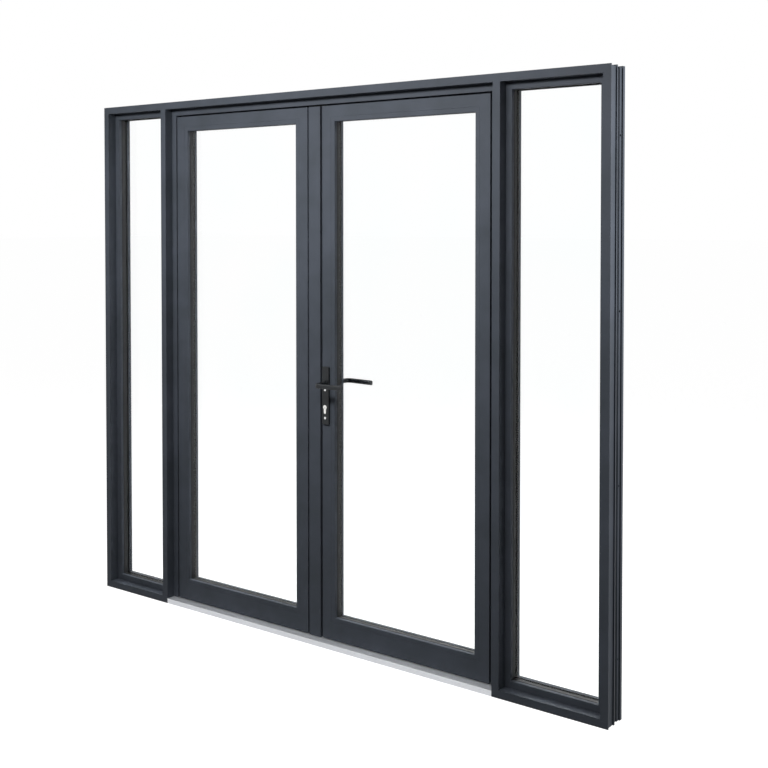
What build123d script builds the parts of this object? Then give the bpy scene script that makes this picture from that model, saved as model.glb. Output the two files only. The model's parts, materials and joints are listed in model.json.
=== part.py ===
from build123d import *
import os

# A pair of glazed aluminium doors between two fixed sidelights, in one frame.
# X runs to the right, Z up, Y from the viewed face to the back, in millimetres.
# The origin is midway between the mullions and faces, on the underside of the threshold.
# Every section is drawn with u across the bar, inwards, and v the depth behind the viewed face.

# Overall sizes: the clear widths between the bars, the left sidelight being the narrower
door_width = 1588.0
left_bay = 330.0
right_bay = 374.0
frame_height = 2100.0
frame_depth = 100.0
nose_width = 28.0

# Extruded walls and the plastic strips that join a bar's two shells
wall = 2.0
strip_thickness = 2.0
strip_inset = 4.0
crimp_width = 1.2
crimp_height = 2.2

# Frame section
frame_front_shell = 48.0
frame_rear_shell_at = 72.0
groove_depth = 5.0
front_rib = 4.0
middle_rib = 6.0
rear_rib = 14.0

# Door recess, the stop round the door and the gap between stop and leaf
recess = 38.0
stop_lip = 25.0
stop_back = 13.0
stop_front_shell = 20.0
stop_rear_shell_at = 70.0
leaf_gap = 7.0

# Leaf section
leaf_face = 42.0
leaf_rail_face = 67.0
leaf_front_shell = 16.0
leaf_rear_shell_at = 68.0
leaf_flange = 14.0
leg_width = 15.0
leg_chamfer = 4.0

# Glazing
bead_leaf_width = 18.0
bead_sidelight_width = 25.0
bead_depth = 13.0
bead_wall = 1.5
bead_chamfer = 1.5
bead_joint = 0.8
gasket_thickness = 3.0
gasket_width = 9.0
gasket_setback = 1.0
pane_thickness = 4.0
pane_spacing = 20.0
glass_cover = 14.0
spacer_width = 7.0
spacer_setback = 4.0
packer_length = 100.0
packer_from_corner = 60.0
rebate_foot = 9.0
rebate_foot_thickness = 2.5

# Threshold
threshold_height = 20.0
threshold_front_shell = 60.0
threshold_rear_shell_at = 76.0
tread_groove_width = 1.6
tread_groove_depth = 1.0
tread_groove_pitch = 6.0
tread_groove_count = 5
nosing_line_heights = (6.5, 13.0)
leaf_bottom_gap = 4.0

# Meeting strip between the leaves
strip_left = -40.0
strip_face_width = 54.0
strip_proud = 2.0
shadow_groove = 10.0
shadow_groove_depth = 8.0
strip_drop = 2.5
meeting_gap = 9.0
cap_plug = 12.0
cap_clearance = 0.2
strip_cap_head = 14.0

# Seals
seal_width = 5.0
seal_clearance = 0.3
meeting_seal_size = 3.0
meeting_seal_reach = 4.5
brush_width = 6.0
brush_clearance = 0.4

# Corner cleats inside the frame
cleat_leg = 70.0
cleat_clearance = 0.2

# Hinges
hinge_heights = (250.0, 1050.0, 1850.0)
hinge_length = 120.0
hinge_knuckle = 38.0
hinge_play = 0.5
hinge_radius = 10.0
hinge_standoff = 11.0
hinge_pin_radius = 5.0
hinge_pin_head_radius = 8.0
hinge_pin_head = 2.5
hinge_wing_width = 36.0
hinge_wing_thickness = 5.0
hinge_wing_gap = 2.5
hinge_sweep_clearance = 0.4
running_clearance = 0.05

# Lock and handle
spindle_height = 997.0
cylinder_drop = 92.0
backset = 20.0
spindle_side = 8.0
spindle_inset = 19.0
plate_height = 218.0
plate_top_rise = 61.0
plate_width = 32.0
plate_thickness = 8.0
plate_edge = 1.5
plate_wall = 2.5
plate_boss_radius = 6.0
screw_radius = 2.5
screw_head_radius = 4.6
screw_head_height = 2.0
upper_screw_drop = 26.0
lower_screw_drop = 132.5
screw_clearance = 0.5
lever_height = 18.0
lever_thickness = 12.0
lever_corner = 5.0
lever_standoff = 58.0
lever_bend = 16.0
lever_grip_radius = 900.0
lever_grip_angle = 6.75
lever_drop = 4.0
collar_radius = 10.0
collar_length = 12.0
case_depth = 32.0
case_thickness = 16.0
case_wall = 1.5
case_rise = 40.0
case_drop = 124.0
faceplate_length = 210.0
faceplate_width = 20.0
faceplate_thickness = 2.5
faceplate_drop = 42.0
follower_radius = 10.5
journal_radius = 8.0
latch_height = 18.0
latch_rise = 24.0
latch_proud = 4.0
latch_length = 22.0
latch_bevel = 8.0
latch_tail = 7.0
latch_tail_height = 8.0
deadbolt_height = 24.0
deadbolt_drop = 49.0
deadbolt_length = 29.0
deadbolt_sunk = 0.4
bolt_clearance = 0.1
lock_part_clearance = 0.4
cylinder_radius = 8.5
cylinder_stem = 10.0
cylinder_total_height = 33.0
cylinder_proud = 2.5
cylinder_hole_clearance = 0.3
plug_radius = 6.5
cam_radius = 12.0
cam_width = 9.4
cam_gap = 10.0
keyway_width = 1.6
keyway_height = 8.0
keyway_depth = 12.0
strike_length = 150.0

# Shoot bolts of the passive leaf
shoot_radius = 4.0
shoot_length = 400.0
shoot_inset = 30.0
shoot_top_rise = 4.0
shoot_top_throw = 24.0
shoot_bottom_throw = 18.0
shoot_hole_clearance = 0.6
knob_radius = 3.0
knob_proud = 2.0
knob_clearance = 0.4

# Fixing holes through the jambs
fixing_heights = (200.0, 760.0, 1320.0, 1880.0)
fixing_radius = 4.0

# Places worked out from the sizes above
front = -frame_depth / 2
back = frame_depth / 2
door_half = door_width / 2
side_inner = door_half + nose_width
bay_ends = {-1: side_inner + left_bay, 1: side_inner + right_bay}
left_edge = -bay_ends[-1] - nose_width
right_edge = bay_ends[1] + nose_width
head_under = frame_height - nose_width
leaf_half = door_half - stop_lip - leaf_gap
leaf_top = head_under - stop_lip - leaf_gap
leaf_bottom = threshold_height + leaf_bottom_gap
strip_right = strip_left + strip_face_width
passive_edge = strip_left - shadow_groove
active_edge = strip_right + meeting_gap
strip_bottom = leaf_bottom - strip_drop
gasket_at = recess + bead_depth
glass_at = gasket_at + gasket_thickness
glass_thickness = 2 * pane_thickness + pane_spacing
leg_at = glass_at + glass_thickness + gasket_thickness
leaf_front_end = recess + leaf_front_shell
flange_gap = stop_lip + leaf_gap - leaf_flange - stop_back
hinge_x = door_half - stop_back - flange_gap / 2
hinge_y = back + hinge_standoff
lock_depth = (leaf_rear_shell_at + wall + frame_depth - wall) / 2
lock_y = front + lock_depth
spindle_x = active_edge + backset
cylinder_height = spindle_height - cylinder_drop
plate_front_y = front + recess - plate_thickness
plate_back_y = back + plate_thickness
plate_centre = spindle_height + plate_top_rise - plate_height / 2
leaf_middle_y = front + (recess + frame_depth) / 2
shoot_x = strip_right - shoot_inset
cylinder_length = (frame_depth - recess) + 2 * (plate_thickness + cylinder_proud)
fixing_depth = (frame_rear_shell_at + frame_depth - rear_rib) / 2

RIGHT = (1, 0, 0)
LEFT = (-1, 0, 0)
UP = (0, 0, 1)
DOWN = (0, 0, -1)
ends_beyond = 20.0


# Sections

def rect(u0, v0, u1, v1):
    """A rectangle between two corners of a section."""
    return Pos((u0 + u1) / 2, (v0 + v1) / 2) * Rectangle(abs(u1 - u0), abs(v1 - v0))


def tube(u0, v0, u1, v1, thickness=wall):
    """A hollow rectangle of a section."""
    void = rect(u0 + thickness, v0 + thickness, u1 - thickness, v1 - thickness)
    return rect(u0, v0, u1, v1) - void


def outline(points):
    """A closed outline through section points."""
    return make_face(Polyline(*points, close=True))


def crimps(strip_places, v, way):
    """The pairs of tongues that grip the strips, standing on a shell's face at depth v."""
    tongues = []
    for u in strip_places:
        tip = v + way * crimp_height
        tongues.append(rect(u - crimp_width, v, u, tip))
        inner = u + strip_thickness
        tongues.append(rect(inner, v, inner + crimp_width, tip))
    return tongues


def joined(first, others):
    """One section made of several that touch or overlap."""
    whole = first
    for other in others:
        whole = whole + other
    return whole


def strip_places(u0, u1):
    """Where the two plastic strips of a bar stand across it."""
    return (u0 + strip_inset, u1 - strip_inset - strip_thickness)


def frame_sections(grooved):
    """Front shell, rear shell and strips of the frame's box section."""
    base = groove_depth if grooved else 0.0
    places = strip_places(base, nose_width)
    near = tube(base, 0, nose_width, frame_front_shell)
    far = tube(base, frame_rear_shell_at, nose_width, frame_depth)
    near = joined(near, crimps(places, frame_front_shell, 1))
    far = joined(far, crimps(places, frame_rear_shell_at, -1))
    if grooved:
        near = near + rect(0, 0, groove_depth, front_rib)
        near = near + rect(0, frame_front_shell - middle_rib, groove_depth, frame_front_shell)
        far = far + rect(0, frame_depth - rear_rib, groove_depth, frame_depth)
    strips = []
    for u in places:
        strips.append(rect(u, frame_front_shell, u + strip_thickness, frame_rear_shell_at))
    return near, far, strips


def stop_sections():
    """Front shell, rear shell and strips of the door stop."""
    front_end = recess + stop_front_shell
    places = (wall, stop_back - wall - strip_thickness)
    near = joined(tube(0, recess, stop_lip, front_end), crimps(places, front_end, 1))
    far = tube(0, stop_rear_shell_at, stop_back, frame_depth)
    far = joined(far, crimps(places, stop_rear_shell_at, -1))
    strips = []
    for u in places:
        strips.append(rect(u, front_end, u + strip_thickness, stop_rear_shell_at))
    return near, far, strips


def leaf_sections(face, flange):
    """Front shell, rear shell and strips of a leaf's stile or rail."""
    places = strip_places(0, face)
    near = joined(tube(0, recess, face, leaf_front_end), crimps(places, leaf_front_end, 1))
    leg = face + leg_width
    leg_side = frame_depth - leg_chamfer
    body = outline([(-flange, leaf_rear_shell_at), (face, leaf_rear_shell_at), (face, leg_at),
                    (leg, leg_at), (leg, leg_side), (leg - leg_chamfer, frame_depth),
                    (-flange, frame_depth)])
    inner_back = frame_depth - wall
    body = body - rect(wall / 2, leaf_rear_shell_at + wall, face - wall, inner_back)
    body = body - rect(face, leg_at + wall, leg - leg_chamfer - wall, inner_back)
    if flange > 0:
        body = body - rect(wall - flange, leaf_rear_shell_at + wall, -wall / 2, inner_back)
    else:
        body = body + rect(0, leaf_rear_shell_at, wall, frame_depth)
    far = joined(body, crimps(places, leaf_rear_shell_at, -1))
    strips = []
    for u in places:
        strips.append(rect(u, leaf_front_end, u + strip_thickness, leaf_rear_shell_at))
    return near, far, strips


def bead_section(width):
    """A hollow glazing bead with its visible edge broken and a fine groove at its joint."""
    end = recess + bead_depth
    corner = width - bead_chamfer
    body = outline([(0, recess + bead_joint), (bead_joint, recess), (corner, recess),
                    (width, recess + bead_chamfer), (width, end), (0, end)])
    return body - rect(bead_wall, recess + bead_wall, width - 2 * bead_wall, end - bead_wall)


def rebate_section():
    """The rear leg and foot that hold a sidelight's glass from behind."""
    leg = tube(0, leg_at, bead_sidelight_width, frame_depth)
    return leg + rect(0, leg_at - rebate_foot, rebate_foot_thickness, leg_at)


# Bars

def bar(section, corner, inward, length, start="mitre", end="mitre", reach=0.0):
    """Extrudes a section from a corner, with each end mitred, square or mitred and trimmed."""
    raw = Pos(0, 0, -reach) * extrude(section, length + 2 * reach)
    low = {"mitre": -reach, "square": 0.0, "trimmed": 0.0}[start]
    high = {"mitre": -reach, "square": 0.0, "trimmed": 0.0}[end]
    wide = leaf_rail_face + bead_sidelight_width
    low_in = 0.0 if start == "square" else wide
    high_in = 0.0 if end == "square" else wide
    points = [(-reach - 1, low - (1 if start == "mitre" else 0)), (0, 0), (wide, low_in),
              (wide, length - high_in), (0, length),
              (-reach - 1, length - high + (1 if end == "mitre" else 0))]
    envelope = extrude(Plane.XZ * make_face(Polyline(*points, close=True)),
                       frame_depth + ends_beyond, both=True)
    cut = raw & envelope
    along = Vector(*inward).cross(Vector(0, 1, 0))
    place = Plane(origin=corner, x_dir=inward, z_dir=along)
    return place.location * cut


def bars(sections, corner, inward, length, start="mitre", end="mitre", reach=0.0):
    """The same bar made from each of several sections."""
    return [bar(s, corner, inward, length, start, end, reach) for s in sections]


def ring_bars(section, x0, x1, z0, z1):
    """Four mitred bars round an opening, with the section's u pointing into the opening."""
    width = x1 - x0
    height = z1 - z0
    return [
        bar(section, (x0, front, z0), RIGHT, height),
        bar(section, (x0, front, z1), DOWN, width),
        bar(section, (x1, front, z1), LEFT, height),
        bar(section, (x1, front, z0), UP, width),
    ]


def block(x0, x1, v0, v1, z0, z1):
    """A block between two corners, its depth counted from the viewed face."""
    size = Box(x1 - x0, v1 - v0, z1 - z0)
    return Pos((x0 + x1) / 2, front + (v0 + v1) / 2, (z0 + z1) / 2) * size


def ring(x0, x1, z0, z1, width, v0, v1):
    """A rectangular ring of the given width, inside the stated rectangle."""
    hole = block(x0 + width, x1 - width, v0 - 1, v1 + 1, z0 + width, z1 - width)
    return block(x0, x1, v0, v1, z0, z1) - hole


def rod_y(radius, x, z, y0, y1):
    """A round rod through the door's thickness."""
    lying = Plane(origin=(x, y0, z), x_dir=(1, 0, 0), z_dir=(0, 1, 0))
    return extrude(lying * Circle(radius), y1 - y0)


def rod_x(radius, y, z, x0, x1):
    """A round rod across the door's width."""
    lying = Plane(origin=(x0, y, z), x_dir=(0, 1, 0), z_dir=(1, 0, 0))
    return extrude(lying * Circle(radius), x1 - x0)


def rod_z(radius, x, y, z0, z1):
    """An upright round rod."""
    return Pos(x, y, z0) * extrude(Circle(radius), z1 - z0)


def without(pieces, tools):
    """Each piece with every tool cut from it."""
    result = []
    for piece in pieces:
        for tool in tools:
            piece = piece - tool
        result.append(piece)
    return result


# Outer frame

def outer_frame():
    """Jambs, head, mullions and sidelight sills, and the strips inside them."""
    near, far, strips = frame_sections(True)
    flat_near, flat_far, flat_strips = frame_sections(False)
    runs = {
        "left_jamb": (near, far, strips, (left_edge, front, 0), RIGHT, frame_height, "square",
                      "mitre"),
        "head": (near, far, strips, (left_edge, front, frame_height), DOWN,
                 right_edge - left_edge, "mitre", "mitre"),
        "right_jamb": (near, far, strips, (right_edge, front, frame_height), LEFT, frame_height,
                       "mitre", "square"),
        "left_mullion": (flat_near, flat_far, flat_strips, (-side_inner, front, 0), RIGHT,
                         head_under, "square", "square"),
        "right_mullion": (flat_near, flat_far, flat_strips, (side_inner, front, head_under), LEFT,
                          head_under, "square", "square"),
        "left_sill": (near, far, strips, (-side_inner, front, 0), UP, left_bay, "square",
                      "square"),
        "right_sill": (near, far, strips, (bay_ends[1], front, 0), UP, right_bay, "square",
                       "square"),
    }
    nodes = {}
    plastic = []
    for name, (shell_near, shell_far, webs, corner, inward, length, start, end) in runs.items():
        nodes[name] = bars([shell_near, shell_far], corner, inward, length, start, end)
        plastic += bars(webs, corner, inward, length, start, end)
    drills = []
    for z in fixing_heights:
        for side in (-1, 1):
            x0, x1 = sorted((side * (bay_ends[side] + nose_width + 1),
                             side * (bay_ends[side] - rebate_foot)))
            drills.append(rod_x(fixing_radius, front + fixing_depth, z, x0, x1))
    nodes["left_jamb"] = without(nodes["left_jamb"], drills)
    nodes["right_jamb"] = without(nodes["right_jamb"], drills)
    nodes["sidelight_sills"] = nodes.pop("left_sill") + nodes.pop("right_sill")
    return nodes, plastic, drills


def corner_cleats():
    """An L of solid aluminium in each shell of the frame's two top corners."""
    cleats = []
    gap = wall + cleat_clearance
    inner = nose_width - gap
    outer = groove_depth + gap
    for side in (-1, 1):
        for v0, v1 in ((gap, frame_front_shell - gap), (frame_rear_shell_at + gap, frame_depth - gap)):
            face = bay_ends[side] + nose_width
            x_out = side * (face - outer)
            x_in = side * (face - inner)
            x_end = side * (face - outer - cleat_leg)
            z_out = frame_height - outer
            z_in = frame_height - inner
            upright = block(min(x_out, x_in), max(x_out, x_in), v0, v1, z_out - cleat_leg, z_out)
            across = block(min(x_out, x_end), max(x_out, x_end), v0, v1, z_in, z_out)
            cleats.append(upright + across)
    return cleats


def door_stops():
    """The L-shaped stops on both mullions and the head, and the strips inside them."""
    near, far, webs = stop_sections()
    height = head_under - threshold_height
    runs = {
        "door_stop_left": ((-door_half, front, threshold_height), RIGHT, height, "square", "mitre"),
        "door_stop_head": ((-door_half, front, head_under), DOWN, 2 * door_half, "mitre", "mitre"),
        "door_stop_right": ((door_half, front, head_under), LEFT, height, "mitre", "square"),
    }
    nodes = {}
    plastic = []
    for name, run in runs.items():
        nodes[name] = bars([near, far], *run)
        plastic += bars(webs, *run)
    hole = shoot_radius + shoot_hole_clearance
    socket = rod_z(hole, shoot_x, lock_y, leaf_top, head_under - wall)
    nodes["door_stop_head"] = without(nodes["door_stop_head"], [socket])
    return nodes, plastic


def stop_seals():
    """The soft seals on the stops' rear faces, which the leaves' flanges close against."""
    v0 = recess + stop_front_shell
    v1 = leaf_rear_shell_at - seal_clearance
    u0 = stop_lip - seal_width - gasket_setback
    body = rect(u0, v0, u0 + seal_width, v1)
    tip = u0 + seal_width / 2
    section = body - Pos(tip, v1 - seal_width / 2) * Circle(seal_width / 2 - wall / 2)
    height = head_under - threshold_height
    return [
        bar(section, (-door_half, front, threshold_height), RIGHT, height, "square", "mitre"),
        bar(section, (-door_half, front, head_under), DOWN, 2 * door_half),
        bar(section, (door_half, front, head_under), LEFT, height, "mitre", "square"),
    ]


def threshold():
    """The low silver threshold between the mullions, with tread grooves and nosing lines."""
    front_part = rect(0, 0, threshold_front_shell, threshold_height)
    front_part = front_part - rect(wall, wall, threshold_front_shell - wall, threshold_height - wall)
    for count in range(tread_groove_count):
        v = tread_groove_pitch * (count + 1)
        top = threshold_height
        front_part = front_part - rect(v, top - tread_groove_depth, v + tread_groove_width, top)
    for z in nosing_line_heights:
        front_part = front_part - rect(0, z, tread_groove_depth, z + tread_groove_depth)
    rear_part = tube(threshold_rear_shell_at, 0, frame_depth, threshold_height)
    run = Plane(origin=(-door_half, front, 0), x_dir=(0, 1, 0), z_dir=(1, 0, 0))
    shells = [run.location * extrude(s, 2 * door_half) for s in (front_part, rear_part)]
    hole = shoot_radius + shoot_hole_clearance
    socket = rod_z(hole, shoot_x, lock_y, wall, threshold_height + 1)
    centre = block(-door_half, door_half, threshold_front_shell, threshold_rear_shell_at, 0,
                   threshold_height - wall)
    return without(shells, [socket]), centre


# Sidelights

def sidelight_pieces(side, drills):
    """Rebate bars, beads, panes, spacer, gaskets and packers of one sidelight."""
    x0, x1 = sorted((side * side_inner, side * bay_ends[side]))
    z0, z1 = nose_width, head_under
    rebate = without(ring_bars(rebate_section(), x0, x1, z0, z1), drills)
    beads = ring_bars(bead_section(bead_sidelight_width), x0, x1, z0, z1)
    edge = bead_sidelight_width - glass_cover
    panes, spacer = glass_unit(x0 + edge, x1 - edge, z0 + edge, z1 - edge)
    sight = bead_sidelight_width - gasket_setback - gasket_width
    gaskets = gasket_pair(x0 + sight, x1 - sight, z0 + sight, z1 - sight)
    packers = []
    for z in (z0, z1 - edge):
        for x in (x0 + packer_from_corner, x1 - packer_from_corner - packer_length):
            packers.append(block(x, x + packer_length, glass_at, glass_at + glass_thickness - rebate_foot,
                                 z, z + edge))
    return rebate, beads, panes, spacer, gaskets, packers


def glass_unit(x0, x1, z0, z1):
    """Two panes held apart by a hollow spacer."""
    second = glass_at + pane_thickness + pane_spacing
    panes = [
        block(x0, x1, glass_at, glass_at + pane_thickness, z0, z1),
        block(x0, x1, second, second + pane_thickness, z0, z1),
    ]
    inset = spacer_setback
    spacer = ring(x0 + inset, x1 - inset, z0 + inset, z1 - inset, spacer_width,
                  glass_at + pane_thickness, second)
    return panes, spacer


def gasket_pair(x0, x1, z0, z1):
    """The gaskets before and behind a glass unit."""
    rear = leg_at - gasket_thickness
    return [
        ring(x0, x1, z0, z1, gasket_width, gasket_at, glass_at),
        ring(x0, x1, z0, z1, gasket_width, rear, leg_at),
    ]


# Leaves

def leaf(name, x0, x1, hinge_on_left):
    """Stiles, rails, strips, beads and glazing of one leaf between two edges."""
    flanged = leaf_sections(leaf_face, leaf_flange)
    plain = leaf_sections(leaf_face, 0.0)
    rail = leaf_sections(leaf_rail_face, 0.0)
    width = x1 - x0
    height = leaf_top - leaf_bottom
    left_kind = flanged if hinge_on_left else plain
    right_kind = plain if hinge_on_left else flanged
    reach = leaf_flange
    left_name = name + ("_hinge_stile" if hinge_on_left else "_meeting_stile")
    right_name = name + ("_meeting_stile" if hinge_on_left else "_hinge_stile")
    left_run = ((x0, front, leaf_bottom), RIGHT, height, "square", "mitre", reach)
    right_run = ((x1, front, leaf_top), LEFT, height, "mitre", "square", reach)
    top_run = ((x0, front, leaf_top), DOWN, width, "mitre" if hinge_on_left else "trimmed",
               "trimmed" if hinge_on_left else "mitre", reach)
    bottom_run = ((x1 - leaf_face, front, leaf_bottom), UP, width - 2 * leaf_face, "square", "square")
    kinds = {
        left_name: (left_kind, left_run),
        right_name: (right_kind, right_run),
        name + "_top_rail": (flanged, top_run),
        name + "_bottom_rail": (rail, bottom_run),
    }
    nodes = {}
    plastic = []
    for node, ((near, far, webs), run) in kinds.items():
        nodes[node] = bars([near, far], *run)
        plastic += bars(webs, *run)
    legs = []
    for x in (x0 + leaf_face, x1 - leaf_face - leg_width):
        legs.append(block(x, x + leg_width, leg_at, frame_depth, leaf_bottom, leaf_top))
    bottom = name + "_bottom_rail"
    nodes[bottom] = without(nodes[bottom], legs)
    nodes[name + "_thermal_strips"] = plastic
    rx0, rx1 = x0 + leaf_face, x1 - leaf_face
    rz0, rz1 = leaf_bottom + leaf_rail_face, leaf_top - leaf_face
    nodes[name + "_beads"] = ring_bars(bead_section(bead_leaf_width), rx0, rx1, rz0, rz1)
    edge = bead_leaf_width - glass_cover
    panes, spacer = glass_unit(rx0 + edge, rx1 - edge, rz0 + edge, rz1 - edge)
    nodes[name + "_panes"] = panes
    nodes[name + "_spacer"] = [spacer]
    sight = bead_leaf_width - gasket_setback - gasket_width
    front_ring, rear_ring = gasket_pair(rx0 + sight, rx1 - sight, rz0 + sight, rz1 - sight)
    rear_sight = leg_width - gasket_setback - gasket_width
    rear_ring = ring(rx0 + rear_sight, rx1 - rear_sight, rz0 + rear_sight, rz1 - rear_sight,
                     gasket_width, leg_at - gasket_thickness, leg_at)
    nodes[name + "_gaskets"] = [front_ring, rear_ring]
    brush_v = leg_at
    nodes[name + "_bottom_seal"] = [block(x0 + leaf_face, x1 - leaf_face, brush_v - brush_width, brush_v,
                                          threshold_height + brush_clearance, leaf_bottom)]
    return nodes


def meeting_strip():
    """The hollow strip on the passive leaf's edge, with its shadow groove and bolt slots."""
    width = strip_right - passive_edge
    floor = recess - strip_proud
    groove_floor = floor + shadow_groove_depth
    shell_end = leaf_front_end
    body = outline([(0, groove_floor), (shadow_groove, groove_floor), (shadow_groove, floor),
                    (width, floor), (width, shell_end), (0, shell_end)])
    near = body - rect(shadow_groove + wall, floor + wall, width - wall, shell_end - wall)
    near = near - rect(wall, groove_floor + wall, shadow_groove + 2 * wall, shell_end - wall)
    far = tube(0, leaf_rear_shell_at, width, frame_depth)
    places = strip_places(0, width)
    near = joined(near, crimps(places, shell_end, 1))
    far = joined(far, crimps(places, leaf_rear_shell_at, -1))
    length = leaf_top - strip_bottom
    corner = (passive_edge, front, strip_bottom)
    shells = bars([near, far], corner, RIGHT, length, "square", "square")
    webs = [rect(u, shell_end, u + strip_thickness, leaf_rear_shell_at) for u in places]
    plastic = bars(webs, corner, RIGHT, length, "square", "square")
    slots = [strike_block()]
    for knob_z, throw in ((top_knob_z(), shoot_top_throw), (bottom_knob_z(), -shoot_bottom_throw)):
        half = knob_radius + knob_clearance
        low, high = sorted((knob_z, knob_z + throw))
        slots.append(block(strip_right - 2 * wall, strip_right + 1, lock_depth - half, lock_depth + half,
                           low - half, high + half))
    return without(shells, slots), plastic


def top_knob_z():
    """Height of the top shoot bolt's knob at rest."""
    return leaf_top + shoot_top_rise - shoot_length + knob_radius


def bottom_knob_z():
    """Height of the bottom shoot bolt's knob at rest."""
    return strip_bottom + shoot_length - knob_radius


def strike_block():
    """The room that the strike plate takes in the meeting strip's wall."""
    half = faceplate_width / 2
    middle = spindle_height - faceplate_drop / 2
    return block(strip_right - wall, strip_right, lock_depth - half, lock_depth + half,
                 middle - strike_length / 2, middle + strike_length / 2)


def strike_plate():
    """The plate on the passive side with the latch's and deadbolt's openings."""
    room = lock_part_clearance
    half = case_thickness / 2 - case_wall
    openings = []
    for z, height in ((spindle_height + latch_rise, latch_height),
                      (spindle_height - deadbolt_drop, deadbolt_height)):
        tall = height / 2 + room
        openings.append(block(strip_right - 2 * wall, strip_right + 1, lock_depth - half,
                              lock_depth + half, z - tall, z + tall))
    return without([strike_block()], openings)


def strip_caps():
    """Plastic plugs in both ends of the meeting strip, which guide the shoot bolts."""
    gap = wall + cap_clearance
    x0, x1 = passive_edge + gap, strip_right - gap
    v0, v1 = leaf_rear_shell_at + gap, frame_depth - gap
    bore = rod_z(shoot_radius + running_clearance, shoot_x, lock_y, 0, frame_height)
    head = block(passive_edge, strip_right, leaf_rear_shell_at, frame_depth, leaf_top,
                 leaf_top + strip_cap_head)
    top = block(x0, x1, v0, v1, leaf_top - cap_plug, leaf_top) + head
    bottom = block(x0, x1, v0, v1, strip_bottom, strip_bottom + cap_plug)
    seal_v = frame_depth - 2 * meeting_seal_size
    seal = block(strip_right, strip_right + meeting_seal_reach, seal_v, seal_v + meeting_seal_size,
                 leaf_bottom, leaf_top)
    return without([top, bottom], [bore]) + [seal]


def shoot_bolts():
    """The upright rods that fasten the passive leaf to head and threshold."""
    top_z = leaf_top + shoot_top_rise
    knob_end = strip_right + knob_proud
    top = rod_z(shoot_radius, shoot_x, lock_y, top_z - shoot_length, top_z)
    top = top + rod_x(knob_radius, lock_y, top_knob_z(), shoot_x, knob_end)
    bottom = rod_z(shoot_radius, shoot_x, lock_y, strip_bottom, strip_bottom + shoot_length)
    bottom = bottom + rod_x(knob_radius, lock_y, bottom_knob_z(), shoot_x, knob_end)
    return top, bottom


# Hinges

def hinge_cylinder(radius, z0, z1):
    """A cylinder on the hinge axis of a hinge standing at the origin."""
    return Pos(0, 0, z0) * extrude(Circle(radius), z1 - z0)


def hinge_wing(side, knuckle_spans, other_spans):
    """A flat wing with its knuckles; the wing lies towards the given side of the pin."""
    thick = hinge_wing_thickness
    x0, x1 = sorted((side * hinge_wing_gap, side * (hinge_wing_gap + hinge_wing_width)))
    plate = Pos((x0 + x1) / 2, thick / 2 - hinge_standoff, hinge_length / 2) * Box(
        hinge_wing_width, thick, hinge_length)
    plate = fillet(plate.edges().filter_by(Axis.Y).sort_by(Axis.X)[-2:] if side > 0
                   else plate.edges().filter_by(Axis.Y).sort_by(Axis.X)[:2], thick)
    for z0, z1 in other_spans:
        room = hinge_radius + hinge_sweep_clearance
        plate = plate - hinge_cylinder(room, z0 - hinge_play, z1 + hinge_play)
    for z0, z1 in knuckle_spans:
        plate = plate + hinge_cylinder(hinge_radius, z0, z1)
    bore = hinge_cylinder(hinge_pin_radius + running_clearance, -1, hinge_length + 1)
    return plate - bore


def hinge_set():
    """Frame wing, leaf wing and pin of a hinge at the origin, for a leaf towards +X."""
    low = (0, hinge_knuckle)
    middle = (hinge_knuckle + hinge_play, hinge_length - hinge_knuckle - hinge_play)
    high = (hinge_length - hinge_knuckle, hinge_length)
    frame_wing = hinge_wing(-1, (low, high), (middle,))
    leaf_wing = hinge_wing(1, (middle,), (low, high))
    pin = hinge_cylinder(hinge_pin_radius, -hinge_pin_head, hinge_length + hinge_pin_head)
    pin = pin + hinge_cylinder(hinge_pin_head_radius, -hinge_pin_head, 0)
    pin = pin + hinge_cylinder(hinge_pin_head_radius, hinge_length, hinge_length + hinge_pin_head)
    return frame_wing, leaf_wing, pin


def hinges():
    """All hinges, with the frame's wings and pins apart from each leaf's wings."""
    frame_wing, leaf_wing, pin = hinge_set()
    nodes = {"hinge_frame_wings": [], "hinge_pins": [], "passive_hinge_wings": [],
             "active_hinge_wings": []}
    for middle in hinge_heights:
        z = middle - hinge_length / 2
        left = Location((-hinge_x, hinge_y, z))
        right = Location((hinge_x, hinge_y, z))
        nodes["hinge_frame_wings"].append(left * frame_wing)
        nodes["hinge_frame_wings"].append(right * mirror(frame_wing, about=Plane.YZ))
        nodes["hinge_pins"].append(left * pin)
        nodes["hinge_pins"].append(right * pin)
        nodes["passive_hinge_wings"].append(left * leaf_wing)
        nodes["active_hinge_wings"].append(right * mirror(leaf_wing, about=Plane.YZ))
    return nodes


# Lock and handle

def profile_cylinder(grow):
    """The outline of a profile cylinder, round at the top with a narrow stem."""
    stem = cylinder_total_height - cylinder_radius
    low = stem - cylinder_stem / 2
    tail = Pos(0, -low / 2) * Rectangle(cylinder_stem + 2 * grow, low)
    foot = Pos(0, -low) * Circle(cylinder_stem / 2 + grow)
    return Circle(cylinder_radius + grow) + tail + foot


def cylinder_run(grow, length):
    """The profile cylinder's shape through the door, centred on the leaf."""
    start = leaf_middle_y + length / 2
    lying = Plane(origin=(spindle_x, start, cylinder_height), x_dir=(1, 0, 0), z_dir=(0, -1, 0))
    return extrude(lying * profile_cylinder(grow), length)


def lock_holes():
    """Everything that is cut through the meeting stile and lock case for the handle set."""
    y0, y1 = plate_front_y - 1, plate_back_y + 1
    tools = [
        rod_y(collar_radius + screw_clearance, spindle_x, spindle_height, y0, y1),
        cylinder_run(cylinder_hole_clearance, y1 - y0),
    ]
    for drop in (upper_screw_drop, lower_screw_drop):
        radius = screw_radius + screw_clearance
        tools.append(rod_y(radius, spindle_x, spindle_height - drop, y0, y1))
    return tools


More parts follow.
